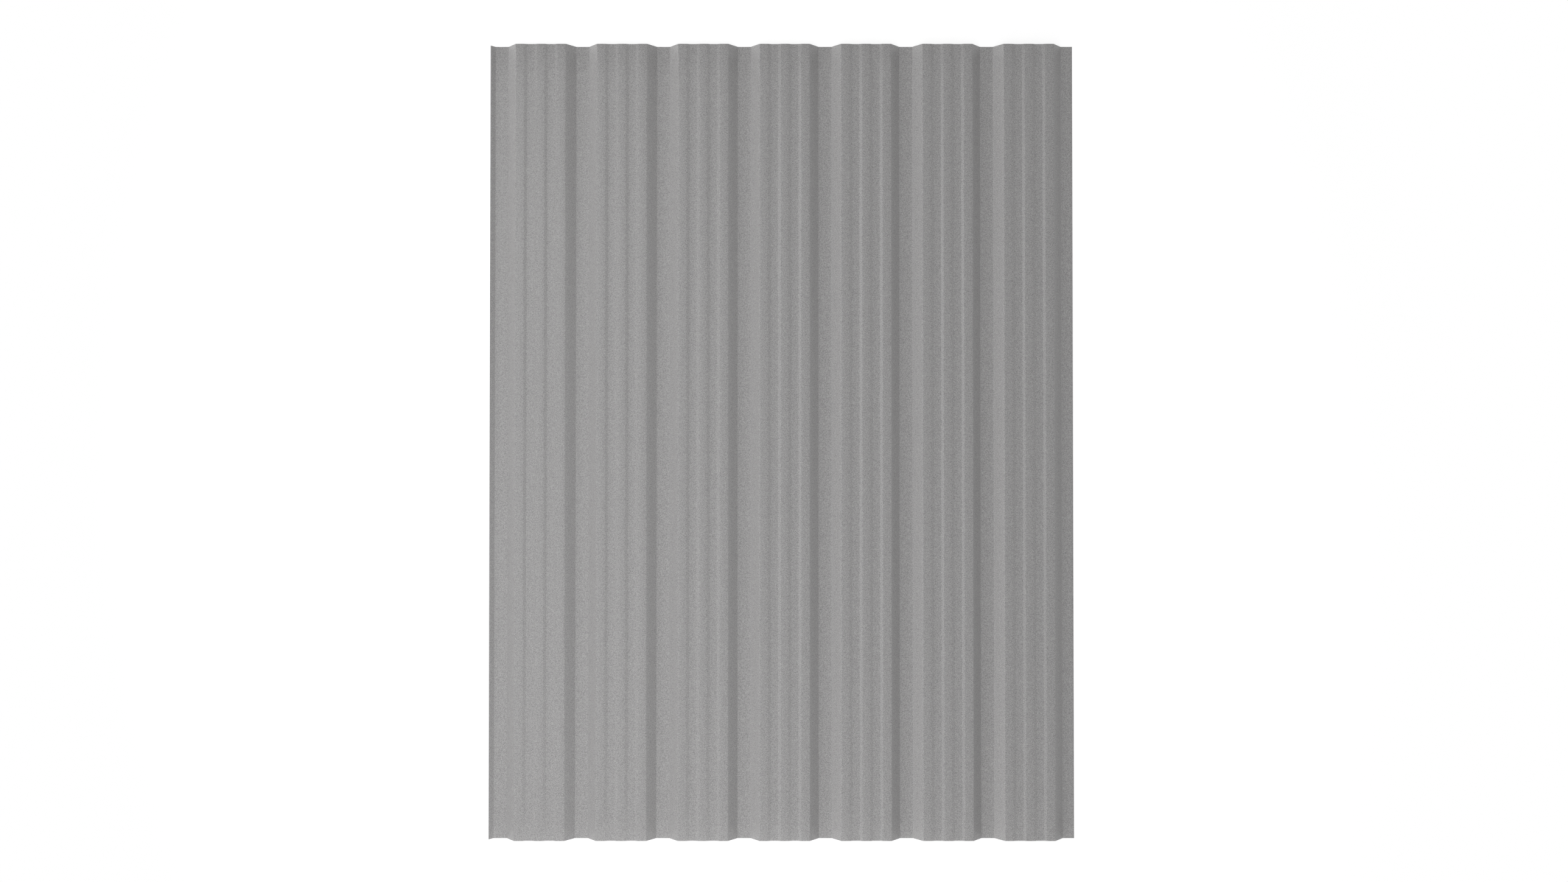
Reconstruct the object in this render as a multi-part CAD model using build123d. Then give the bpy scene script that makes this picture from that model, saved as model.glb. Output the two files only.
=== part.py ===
from build123d import *
import os

# A trapezoidal profiled steel sheet, roll-formed in one piece from painted coil.
# It lies flat on its narrow valleys with its wide crests up. X runs across the sheet, Y along
# its length and Z up, from the middle of the rectangle that the sheet covers.

# Driving sizes, in millimetres. Runs are horizontal and rises vertical, between the lines
# where the flats would meet if the bends were sharp, on the underside of the steel.
sheet_length = 1500.0
sheet_thickness = 0.5
bend_radius = 2.0  # inside radius of every bend

profile_height = 20.0
web_run = 17.0
valley_flat = 25.5
wave_count = 7

# Each wide crest carries two shallow stiffening grooves between three flats.
crest_edge_flat = 15.75
crest_middle_flat = 14.5
groove_slope_run = 5.0
groove_floor = 14.0
groove_depth = 1.9

# Side laps: the left edge turns up along the web line as a supporting leg under the next
# sheet, and the right edge ends in a flange a little narrower than a valley.
leg_rise = 9.0
lap_flange = 22.0


def groove_steps():
    """One stiffening groove, as (run, rise) steps from left to right."""
    return [
        (groove_slope_run, -groove_depth),
        (groove_floor, 0),
        (groove_slope_run, groove_depth),
    ]


def crest_steps():
    """The top of one wave: flat, groove, flat, groove, flat."""
    edge = [(crest_edge_flat, 0)]
    middle = [(crest_middle_flat, 0)]
    return edge + groove_steps() + middle + groove_steps() + edge


def wave_steps():
    """One wave: a web up, the crest and a web down."""
    web_up = [(web_run, profile_height)]
    web_down = [(web_run, -profile_height)]
    return web_up + crest_steps() + web_down


def section_steps():
    """The whole section from the tip of the left leg to the edge of the right flange."""
    leg_run = web_run * leg_rise / profile_height
    steps = [(leg_run, -leg_rise)]
    for wave in range(wave_count):
        steps += [(valley_flat, 0)] + wave_steps()
    return steps + [(lap_flange, 0)]


def underside_points():
    """Corners of the underside, before its bends are rounded."""
    x, z = 0.0, leg_rise
    points = [(x, z)]
    for run, rise in section_steps():
        x, z = x + run, z + rise
        points.append((x, z))
    return points


def underside_radii():
    """Radius of each corner: the underside is the outside of a bend that turns upwards."""
    steps = section_steps()
    radii = []
    for (run, rise), (next_run, next_rise) in zip(steps, steps[1:]):
        turns_up = run * next_rise > next_run * rise
        radii.append(bend_radius + sheet_thickness if turns_up else bend_radius)
    return radii


def profiled_sheet():
    """The section, as thick as the steel, run along the sheet and centred on the floor."""
    underside = FilletPolyline(*underside_points(), radius=underside_radii())
    section = make_face(offset(underside, amount=sheet_thickness, side=Side.LEFT))
    sheet = extrude(Plane.XZ * section, amount=sheet_length / 2, both=True)
    return Pos(X=-sheet.bounding_box().center().X) * sheet


os.makedirs("parts", exist_ok=True)
export_step(profiled_sheet(), "parts/profiled_sheet.step")
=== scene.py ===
import math
from collections import namedtuple

import bpy
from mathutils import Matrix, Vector


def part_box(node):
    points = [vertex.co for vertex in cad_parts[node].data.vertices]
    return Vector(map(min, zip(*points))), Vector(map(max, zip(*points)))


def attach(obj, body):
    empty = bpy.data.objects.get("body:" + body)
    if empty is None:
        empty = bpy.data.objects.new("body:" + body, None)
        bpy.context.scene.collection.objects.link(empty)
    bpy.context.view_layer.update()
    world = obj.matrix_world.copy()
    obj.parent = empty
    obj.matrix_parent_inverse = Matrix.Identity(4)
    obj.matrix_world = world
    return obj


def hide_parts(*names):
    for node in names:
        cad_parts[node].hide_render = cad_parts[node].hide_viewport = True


# A trapezoidal profiled steel sheet with a low-gloss, finely grained grey coat. It lies on a pale
# studio floor and is seen from straight above. Lengths are in metres and angles in radians.

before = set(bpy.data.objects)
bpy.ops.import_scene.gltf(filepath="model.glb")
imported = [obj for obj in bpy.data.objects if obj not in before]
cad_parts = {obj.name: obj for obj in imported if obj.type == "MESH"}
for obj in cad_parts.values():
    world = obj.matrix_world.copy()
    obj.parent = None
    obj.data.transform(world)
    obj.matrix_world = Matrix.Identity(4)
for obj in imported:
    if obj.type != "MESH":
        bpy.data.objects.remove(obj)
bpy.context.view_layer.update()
sheet_low, sheet_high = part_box("profiled_sheet")

# Section sizes, as the sheet is rolled: runs go across it, between the lines where the flats
# would meet if the bends were sharp, on the underside of the steel.
steel = 0.0005
bend_radius = 0.002
valley_flat = 0.0255
web_run = 0.017
crest_edge_flat = 0.01575
crest_middle_flat = 0.0145
groove_slope_run = 0.005
groove_floor = 0.014
groove_depth = 0.0019
leg_rise = 0.009
lap_flange = 0.022

# Springback leaves the flats slightly bowed: those of the crest stand up in the middle, and
# the groove floors and the valleys sag, so their bends lie that much lower or higher.
crest_bow = 0.00022
groove_bow = 0.00018
valley_bow = 0.00045

wave_height = sheet_high.z - sheet_low.z - steel
sheet_length = sheet_high.y - sheet_low.y
leg_run = web_run * leg_rise / wave_height
crest_level = wave_height - crest_bow
groove_level = wave_height - groove_depth + groove_bow
valley_level = valley_bow

groove_width = 2 * groove_slope_run + groove_floor
crest_width = 2 * crest_edge_flat + 2 * groove_width + crest_middle_flat
wave_pitch = valley_flat + 2 * web_run + crest_width
wave_count = round((sheet_high.x - sheet_low.x - leg_run - lap_flange) / wave_pitch)

# How finely the mesh follows the steel.
flat_steps = 4
web_steps = 3
slope_steps = 2
bend_step = math.radians(8)
fewest_bend_steps = 2
length_steps = 24

# The shears pull the upper face down a little along every cut.
cut_rollover = 0.00007
cut_rollover_width = 0.00015

# A flat is the steel from one sharp corner to the next, with its middle standing out by its bow.
# A bend takes some reach from the end of both flats beside it. A station is a point on the
# underside, with the way that the steel heads there.
Flat = namedtuple("Flat", "start chord bow steps")
Bend = namedtuple("Bend", "stations reach")
Station = namedtuple("Station", "point heading")

# Order of the finishes in the mesh's material slots.
TOP_COAT, BACK_COAT, CUT_EDGE = range(3)

# The finish is laid out flat, as the coil was before it was rolled. Each of its strips has its
# finish, and where it starts and ends across the layout. The upper face gets the most room, and
# three strips end before they start, so that none is mirrored.
Strip = namedtuple("Strip", "finish start end")
strips = {
    "upper": Strip(TOP_COAT, 0.002, 0.640),
    "under": Strip(BACK_COAT, 0.970, 0.646),
    "front_cut": Strip(CUT_EDGE, 0.979, 0.975),
    "rear_cut": Strip(CUT_EDGE, 0.982, 0.986),
    "left_cut": Strip(CUT_EDGE, 0.989, 0.993),
    "right_cut": Strip(CUT_EDGE, 0.999, 0.996),
}

WHITE = (1, 1, 1)


# The rolled section

def groove_runs():
    """One stiffening groove. Each run is its width, the level at its end, its bow and steps."""
    return [
        (groove_slope_run, groove_level, 0, slope_steps),
        (groove_floor, groove_level, -groove_bow, flat_steps),
        (groove_slope_run, crest_level, 0, slope_steps),
    ]


def wave_runs():
    """A valley and the wave that follows it."""
    crest_edge = (crest_edge_flat, crest_level, crest_bow, flat_steps)
    crest_middle = (crest_middle_flat, crest_level, crest_bow, flat_steps)
    return [
        (valley_flat, valley_level, -valley_bow, flat_steps),
        (web_run, crest_level, 0, web_steps),
        crest_edge,
        *groove_runs(),
        crest_middle,
        *groove_runs(),
        crest_edge,
        (web_run, valley_level, 0, web_steps),
    ]


def section_flats():
    """The whole section, from the tip of the left leg to the edge of the right flange."""
    left_leg = (leg_run, valley_level, 0, slope_steps)
    right_flange = (lap_flange, valley_level, -valley_bow, flat_steps)
    flats = []
    start = Vector((sheet_low.x, leg_rise))
    for run, level, bow, steps in [left_leg] + wave_runs() * wave_count + [right_flange]:
        end = Vector((start.x + run, level))
        flats.append(Flat(start, end - start, bow, steps))
        start = end
    return flats


def onwards(heading):
    """The direction in which the steel heads."""
    return Vector((math.cos(heading), math.sin(heading)))


def upwards(heading):
    """The direction through the steel, from its underside to its upper face."""
    return Vector((-math.sin(heading), math.cos(heading)))


def heading_at(flat, along):
    """The way that a flat, bowed as a parabola, heads at a share of its length."""
    tilt = math.atan(4 * flat.bow * (1 - 2 * along) / flat.chord.length)
    return math.atan2(flat.chord.y, flat.chord.x) + tilt


def flat_stations(flat, reach_in, reach_out):
    """The stations of a flat, from the end of one bend to the start of the next."""
    first = reach_in / flat.chord.length
    last = 1 - reach_out / flat.chord.length
    up = upwards(math.atan2(flat.chord.y, flat.chord.x))
    stations = []
    for step in range(flat.steps + 1):
        along = first + (last - first) * step / flat.steps
        rise = 4 * flat.bow * along * (1 - along)
        point = flat.start + flat.chord * along + up * rise
        stations.append(Station(point, heading_at(flat, along)))
    return stations


def bend_between(before, after):
    """The bend that joins two flats. Its ends are left out, because the flats have them."""
    heading_in = heading_at(before, 1)
    turn = heading_at(after, 0) - heading_in
    side = math.copysign(1, turn)
    radius = bend_radius + steel if turn > 0 else bend_radius
    reach = radius * math.tan(abs(turn) / 2)
    start = after.start - reach * onwards(heading_in)
    centre = start + side * radius * upwards(heading_in)
    steps = max(fewest_bend_steps, math.ceil(abs(turn) / bend_step))
    stations = []
    for step in range(1, steps):
        heading = heading_in + turn * step / steps
        stations.append(Station(centre - side * radius * upwards(heading), heading))
    return Bend(stations, reach)


def underside_stations():
    """The whole underside, with its flats bowed and its bends rounded."""
    flats = section_flats()
    no_bend = Bend([], 0)
    bends = [no_bend, *map(bend_between, flats, flats[1:]), no_bend]
    stations = []
    for flat, before, after in zip(flats, bends, bends[1:]):
        stations += flat_stations(flat, before.reach, after.reach)
        stations += after.stations
    return stations


# The steel as a mesh

def moved_on(station, distance):
    """A station moved along the steel's heading."""
    return Station(station.point + distance * onwards(station.heading), station.heading)


def columns_across():
    """The underside's stations, with a narrow column inside each side edge."""
    first, *middle, last = underside_stations()
    second = moved_on(first, cut_rollover_width)
    last_but_one = moved_on(last, -cut_rollover_width)
    return [first, second, *middle, last_but_one, last]


def rows_along():
    """Places along the sheet's length, with a narrow row inside each cut end."""
    inner = sheet_length / 2 - cut_rollover_width
    rows = [-sheet_length / 2]
    for step in range(length_steps + 1):
        rows.append(-inner + 2 * inner * step / length_steps)
    return rows + [sheet_length / 2]


def shares_of_width(columns):
    """How far each column lies across the flat coil, from 0 to 1."""
    reached = [0.0]
    for column, next_column in zip(columns, columns[1:]):
        reached.append(reached[-1] + (next_column.point - column.point).length)
    return [width / reached[-1] for width in reached]


def steel_points(columns, rows):
    """Two points for each row and column: on the underside and on the upper face."""
    points = []
    for row, y in enumerate(rows):
        for column, (point, heading) in enumerate(columns):
            at_cut = row in (0, len(rows) - 1) or column in (0, len(columns) - 1)
            depth = steel - cut_rollover if at_cut else steel
            top = point + depth * upwards(heading)
            points.append((point.x, y, point.y))
            points.append((top.x, y, top.y))
    return points


def cut_face(start, end):
    """The corners of a face through the steel, between two neighbours on a cut."""
    return [(*start, 0), (*end, 0), (*end, 1), (*start, 1)]


def steel_faces(last_row, last_column):
    """Every face, as its strip and its corners: row, column, and 0 under or 1 on top."""
    for row in range(last_row):
        for column in range(last_column):
            near = [(row, column), (row, column + 1)]
            far = [(row + 1, column + 1), (row + 1, column)]
            yield "upper", [(*place, 1) for place in near + far]
            yield "under", [(*place, 0) for place in reversed(near + far)]
    for column in range(last_column):
        yield "front_cut", cut_face((0, column), (0, column + 1))
        yield "rear_cut", cut_face((last_row, column + 1), (last_row, column))
    for row in range(last_row):
        yield "left_cut", cut_face((row + 1, 0), (row, 0))
        yield "right_cut", cut_face((row, last_column), (row + 1, last_column))


def layout_place(name, across, along, through):
    """A corner's place in a strip, from its shares across, along and through the coil."""
    strip = strips[name]
    width_share = across if name in ("upper", "under") else through
    length_share = across if name in ("front_cut", "rear_cut") else along
    return strip.start + (strip.end - strip.start) * width_share, length_share


def mark_cut_rims(mesh):
    """Keeps the rims of the cut faces crisp under smooth shading."""
    finishes_at = {}
    for polygon in mesh.polygons:
        for key in polygon.edge_keys:
            finishes_at.setdefault(key, set()).add(polygon.material_index)
    for edge in mesh.edges:
        edge.use_edge_sharp = len(finishes_at[edge.key]) > 1


def sheet_mesh():
    """The steel as one closed mesh: upper face, underside and cut edges."""
    columns = columns_across()
    rows = rows_along()
    widths = shares_of_width(columns)
    lengths = [0.5 + y / sheet_length for y in rows]
    points = steel_points(columns, rows)

    faces = []
    finishes = []
    places = []
    for name, corners in steel_faces(len(rows) - 1, len(columns) - 1):
        faces.append([2 * (row * len(columns) + column) + side for row, column, side in corners])
        finishes.append(strips[name].finish)
        for row, column, side in corners:
            places += layout_place(name, widths[column], lengths[row], side)

    mesh = bpy.data.meshes.new("sheet_steel")
    mesh.from_pydata(points, [], faces)
    mesh.polygons.foreach_set("material_index", finishes)
    mesh.shade_smooth()
    mark_cut_rims(mesh)
    mesh.uv_layers.new(name="OFBake").uv.foreach_set("vector", places)
    depth = mesh.attributes.new("through_steel", "FLOAT", "POINT")
    depth.data.foreach_set("value", [index % 2 for index in range(len(points))])
    mesh.validate()
    return mesh


# Nodes that the finishes and the studio share

def feed(tree, node, terms):
    """Sets a node's sockets, by name or number, or links other nodes' outputs to them."""
    for name, term in terms.items():
        socket = node.inputs[name]
        if isinstance(term, bpy.types.NodeSocket):
            tree.links.new(term, socket)
        else:
            socket.default_value = term


def put(tree, kind, terms, **settings):
    """A new node with its settings made and its sockets fed."""
    node = tree.nodes.new(kind)
    for name, value in settings.items():
        setattr(node, name, value)
    feed(tree, node, terms)
    return node


def math_node(tree, operation, first, second):
    """The output of a Math node with two terms."""
    node = put(tree, "ShaderNodeMath", {0: first, 1: second}, operation=operation)
    return node.outputs["Value"]


def vector_node(tree, operation, terms):
    """A Vector Math node, with its terms."""
    return put(tree, "ShaderNodeVectorMath", terms, operation=operation)


def object_place(tree):
    """Where a point lies in the object's own frame, in metres."""
    return put(tree, "ShaderNodeTexCoord", {}).outputs["Object"]


def rise_between(tree, value, low, high):
    """A smooth mask that goes from 0 to 1 as a value goes from low to high."""
    terms = {"Value": value, "From Min": low, "From Max": high}
    fade = put(tree, "ShaderNodeMapRange", terms, interpolation_type="SMOOTHSTEP")
    return fade.outputs["Result"]


def blend_values(tree, mask, low, high):
    """The number between two, by a mask."""
    span = math_node(tree, "MULTIPLY", mask, high - low)
    return math_node(tree, "ADD", span, low)


def blend_colours(tree, mask, dark, light):
    """The colour between two, by a mask."""
    terms = {"Factor": mask, "A": (*dark, 1), "B": (*light, 1)}
    return put(tree, "ShaderNodeMix", terms, data_type="RGBA").outputs["Result"]


def shade(colour, share):
    """A colour made lighter or darker."""
    return tuple(channel * share for channel in colour)


# Effects that more than one finish has

def new_group(name, inputs, outputs):
    """An empty node group with float sockets, and its input and output nodes."""
    group = bpy.data.node_groups.new(name, "ShaderNodeTree")
    for label, value in inputs.items():
        socket = group.interface.new_socket(label, in_out="INPUT", socket_type="NodeSocketFloat")
        socket.default_value = value
    for label in outputs:
        group.interface.new_socket(label, in_out="OUTPUT", socket_type="NodeSocketFloat")
    return group, group.nodes.new("NodeGroupInput"), group.nodes.new("NodeGroupOutput")


def contrasted(tree, value, contrast):
    """A value about one half, with what it differs from that multiplied."""
    centred = math_node(tree, "SUBTRACT", value, 0.5)
    stretched = math_node(tree, "MULTIPLY", centred, contrast)
    return math_node(tree, "ADD", stretched, 0.5)


def grain_group():
    """Fine even grain, as a mask about one half and as a height."""
    group, given, result = new_group(
        "fine_grain", {"Grain Size": 0.001, "Contrast": 1.0}, ("Mask", "Height")
    )
    scale = math_node(group, "DIVIDE", 1.0, given.outputs["Grain Size"])
    terms = {"Vector": object_place(group), "Scale": scale, "Detail": 2.0, "Roughness": 0.65}
    height = put(group, "ShaderNodeTexNoise", terms).outputs["Fac"]
    mask = contrasted(group, height, given.outputs["Contrast"])
    feed(group, result, {"Mask": mask, "Height": height})
    return group


def streaks_group():
    """Faint long lines that the coater and the rolls leave along the sheet, as a mask."""
    group, given, result = new_group(
        "coil_streaks", {"Line Width": 0.004, "Line Length": 0.6, "Contrast": 1.0}, ("Mask",)
    )
    across = math_node(group, "DIVIDE", 1.0, given.outputs["Line Width"])
    along = math_node(group, "DIVIDE", 1.0, given.outputs["Line Length"])
    scales = put(group, "ShaderNodeCombineXYZ", {"X": across, "Y": along}).outputs["Vector"]
    place = vector_node(group, "MULTIPLY", {0: object_place(group), 1: scales})
    terms = {"Vector": place.outputs["Vector"], "Scale": 1.0, "Detail": 3.0}
    noise = put(group, "ShaderNodeTexNoise", terms).outputs["Fac"]
    feed(group, result, {"Mask": contrasted(group, noise, given.outputs["Contrast"])})
    return group


def use_group(tree, group, terms):
    """A node group in a material, with its own values."""
    return put(tree, "ShaderNodeGroup", terms, node_tree=group)


def relief(tree, speckle, strength, depth):
    """Fine relief from the height of the grain."""
    terms = {"Height": speckle.outputs["Height"], "Strength": strength, "Distance": depth}
    return put(tree, "ShaderNodeBump", terms).outputs["Normal"]


# The three finishes

def new_material(name):
    """A material with its own Principled shader, ready for textures."""
    material = bpy.data.materials.new(name)
    material.use_nodes = True
    return material, material.node_tree, material.node_tree.nodes["Principled BSDF"]


def top_coat(grain, streaks):
    """Low-gloss grey coat with a fine grain, on the upper face."""
    grey = (0.307, 0.302, 0.302)
    grain_share = 0.9
    streak_share = 0.006
    material, tree, shader = new_material("low_gloss_grey_coat")
    speckle = use_group(tree, grain, {"Grain Size": 0.0013, "Contrast": 1.1})
    mask = speckle.outputs["Mask"]
    speckled = blend_colours(tree, mask, shade(grey, 1 - grain_share), shade(grey, 1 + grain_share))

    lines = use_group(tree, streaks, {"Line Width": 0.006, "Line Length": 0.8, "Contrast": 1.0})
    dark, light = shade(WHITE, 1 - streak_share), shade(WHITE, 1 + streak_share)
    lined = blend_colours(tree, lines.outputs["Mask"], dark, light)

    terms = {"Factor": 1, "A": speckled, "B": lined}
    both = put(tree, "ShaderNodeMix", terms, data_type="RGBA", blend_type="MULTIPLY")
    finish = {
        "Base Color": both.outputs["Result"],
        "Roughness": blend_values(tree, mask, low=0.36, high=0.50),
        "Normal": relief(tree, speckle, strength=0.5, depth=0.00004),
    }
    feed(tree, shader, finish)
    return material


def back_coat(grain, streaks):
    """Thin pale backing coat on the underside, through which the coater's lines show."""
    pale_grey = (0.46, 0.47, 0.46)
    darkest_share = 0.92
    palest_share = 1.06
    material, tree, shader = new_material("pale_backing_coat")
    speckle = use_group(tree, grain, {"Grain Size": 0.0006, "Contrast": 1.0})
    lines = use_group(tree, streaks, {"Line Width": 0.003, "Line Length": 0.5, "Contrast": 1.6})
    dark, light = shade(pale_grey, darkest_share), shade(pale_grey, palest_share)
    finish = {
        "Base Color": blend_colours(tree, lines.outputs["Mask"], dark, light),
        "Roughness": blend_values(tree, speckle.outputs["Mask"], low=0.38, high=0.52),
        "Normal": relief(tree, speckle, strength=0.3, depth=0.00002),
    }
    feed(tree, shader, finish)
    return material


def cut_edge(grain):
    """Bare sheared steel: a bright burnished band above a duller, grainy break."""
    burnished = (0.58, 0.58, 0.60)
    burnished_roughness = 0.35
    broken = (0.33, 0.33, 0.34)
    broken_roughness = 0.6
    break_ends = 0.55
    band_blur = 0.12
    material, tree, shader = new_material("sheared_steel")
    depth = put(tree, "ShaderNodeAttribute", {}, attribute_name="through_steel").outputs["Fac"]
    band = rise_between(tree, depth, break_ends - band_blur, break_ends + band_blur)
    speckle = use_group(tree, grain, {"Grain Size": 0.00015, "Contrast": 1.0})
    finish = {
        "Base Color": blend_colours(tree, band, broken, burnished),
        "Roughness": blend_values(tree, band, broken_roughness, burnished_roughness),
        "Metallic": 1,
        "Normal": relief(tree, speckle, strength=0.4, depth=0.00003),
    }
    feed(tree, shader, finish)
    return material


# The sheet in the scene

def add_object(name, data):
    """A new object in the scene, made of a mesh, a lamp or a camera."""
    thing = bpy.data.objects.new(name, data)
    bpy.context.scene.collection.objects.link(thing)
    return thing


def add_sheet():
    """The steel sheet, in its three finishes."""
    grain = grain_group()
    streaks = streaks_group()
    mesh = sheet_mesh()
    for material in (top_coat(grain, streaks), back_coat(grain, streaks), cut_edge(grain)):
        mesh.materials.append(material)
    sheet = add_object("sheet_steel", mesh)
    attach(sheet, "root")
    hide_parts("profiled_sheet")


# The studio

def seen_directly(tree):
    """A mask that is 1 where the camera, a reflection or glass shows a surface."""
    path = put(tree, "ShaderNodeLightPath", {}).outputs
    direct = math_node(tree, "ADD", path["Is Camera Ray"], path["Is Glossy Ray"])
    return math_node(tree, "ADD", direct, path["Is Transmission Ray"])


def mix_shaders(tree, mask, first, second):
    """Two shaders, mixed by a mask."""
    return put(tree, "ShaderNodeMixShader", {0: mask, 1: first, 2: second}).outputs["Shader"]


def white_glow(tree, strength):
    """A surface that shines white."""
    terms = {"Color": (*WHITE, 1), "Strength": strength}
    return put(tree, "ShaderNodeEmission", terms).outputs["Emission"]


def dull_surface(tree, share):
    """A colourless dull surface that gives back a share of the light."""
    terms = {"Color": (*shade(WHITE, share), 1)}
    return put(tree, "ShaderNodeBsdfDiffuse", terms).outputs["BSDF"]


def white_sky(tree, strength):
    """An even white surrounding."""
    terms = {"Color": (*WHITE, 1), "Strength": strength}
    return put(tree, "ShaderNodeBackground", terms).outputs["Background"]


def sheet_halves(tree):
    """Where a floor point lies, counted in half widths and half lengths of the sheet."""
    sheet_half = (sheet_high.x, sheet_high.y, 1)
    return vector_node(tree, "DIVIDE", {0: object_place(tree), 1: sheet_half}).outputs["Vector"]


def painted_shade_outline_mask(tree, halves):
    """A mask that is 0 under the sheet and 1 from its outline on. Where it is 0 the floor's glow is
    taken away, which paints shade under the sheet.
    """
    rise_share = 0.025
    positive = vector_node(tree, "ABSOLUTE", {0: halves}).outputs["Vector"]
    parts = put(tree, "ShaderNodeSeparateXYZ", {"Vector": positive}).outputs
    furthest = math_node(tree, "MAXIMUM", parts["X"], parts["Y"])
    return rise_between(tree, furthest, 1.0 - rise_share, 1.0)


def away_from_sheet(tree, halves):
    """A mask that is 0 under and beside the sheet, and 1 further away."""
    distance = vector_node(tree, "LENGTH", {0: halves}).outputs["Value"]
    return rise_between(tree, distance, low=1.5, high=2.4)


def floor_paint():
    """A floor that is seen as white, with the sheet's shadow, and lights the sheet as pale grey.

    Near the sheet it shows a dull surface, lifted to white by a glow. The glow stops at the
    sheet's outline, a painted shade that keeps the tunnels under the crests dark. Further off it
    is plain white.
    """
    own_colour = 0.45
    lifted_colour = 0.48
    lift = 0.69
    material = bpy.data.materials.new("white_floor")
    material.use_nodes = True
    tree = material.node_tree
    tree.nodes.clear()
    halves = sheet_halves(tree)
    # The glow is masked off under the sheet: painted shade in the tunnels under the crests.
    glow = white_glow(tree, math_node(tree, "MULTIPLY", painted_shade_outline_mask(tree, halves), lift))
    lifted = put(tree, "ShaderNodeAddShader", {0: dull_surface(tree, lifted_colour), 1: glow})
    far = away_from_sheet(tree, halves)
    shown = mix_shaders(tree, far, lifted.outputs["Shader"], white_glow(tree, 1))
    surface = mix_shaders(tree, seen_directly(tree), dull_surface(tree, own_colour), shown)
    put(tree, "ShaderNodeOutputMaterial", {"Surface": surface})
    return material


def add_floor():
    """A wide floor, a hair under the sheet."""
    reach = 12.0
    gap = 0.0002
    corners = [(-reach, -reach), (reach, -reach), (reach, reach), (-reach, reach)]
    mesh = bpy.data.meshes.new("studio_floor")
    mesh.from_pydata([(x, y, sheet_low.z - gap) for x, y in corners], [], [(0, 1, 2, 3)])
    mesh.materials.append(floor_paint())
    add_object("studio_floor", mesh)


def add_world():
    """White all round where it is seen, and a weak even light."""
    even_light = 0.428
    world = bpy.data.worlds.new("studio_air")
    world.use_nodes = True
    tree = world.node_tree
    tree.nodes.clear()
    light, shown = white_sky(tree, even_light), white_sky(tree, 1)
    surface = mix_shaders(tree, seen_directly(tree), light, shown)
    put(tree, "ShaderNodeOutputWorld", {"Surface": surface})
    bpy.context.scene.world = world


def add_soft_light(name, place, aim, size, power, shadows=True, gloss=True):
    """A soft box of some width and height that isn't seen itself."""
    light = bpy.data.lights.new(name, "AREA")
    light.shape = "RECTANGLE"
    light.size, light.size_y = size
    light.energy = power
    light.use_shadow = shadows
    lamp = add_object(name, light)
    lamp.location = place
    heading = Vector(aim) - Vector(place)
    lamp.rotation_euler = heading.to_track_quat("-Z", "Y").to_euler()
    lamp.visible_camera = False
    lamp.visible_glossy = gloss


def add_lights():
    """Two soft boxes above the left half, one in front, and a low wash from either side.

    The washes are so low that each wave would shade the next, so they cast no shadow. The left
    one would make the grain sparkle along the crests, so no gloss shows it.
    """
    middle = (0, 0, 0)
    add_soft_light("rear_top_box", place=(-1.0, 0.8, 2.4), aim=middle, size=(0.9, 0.9), power=12.1)
    add_soft_light(
        "near_top_box", place=(-0.9, -0.5, 1.9), aim=(-0.9, -0.5, 0), size=(1.0, 1.0), power=7.5
    )
    add_soft_light("front_box", place=(-0.3, -2.0, 0.7), aim=middle, size=(1.4, 0.6), power=12.9)
    add_soft_light(
        "left_wash",
        place=(-4.97, 2.5, 0.52),
        aim=middle,
        size=(3.0, 0.6),
        power=150,
        shadows=False,
        gloss=False,
    )
    add_soft_light(
        "right_wash", place=(9.85, 0, 1.74), aim=middle, size=(6.0, 1.0), power=127, shadows=False
    )


def add_camera():
    """The camera, above the middle of the sheet and looking nearly straight down at it."""
    lens_millimetres = 31.64
    place = (0.0043, -0.0339, 2.6127)
    forward_tilt = 0.013
    camera = bpy.data.cameras.new("view_camera")
    camera.lens = lens_millimetres
    body = add_object("view_camera", camera)
    body.location = place
    body.rotation_euler = (forward_tilt, 0, 0)
    bpy.context.scene.camera = body


add_sheet()
add_floor()
add_world()
add_lights()
add_camera()
bpy.context.scene.view_settings.view_transform = "Standard"
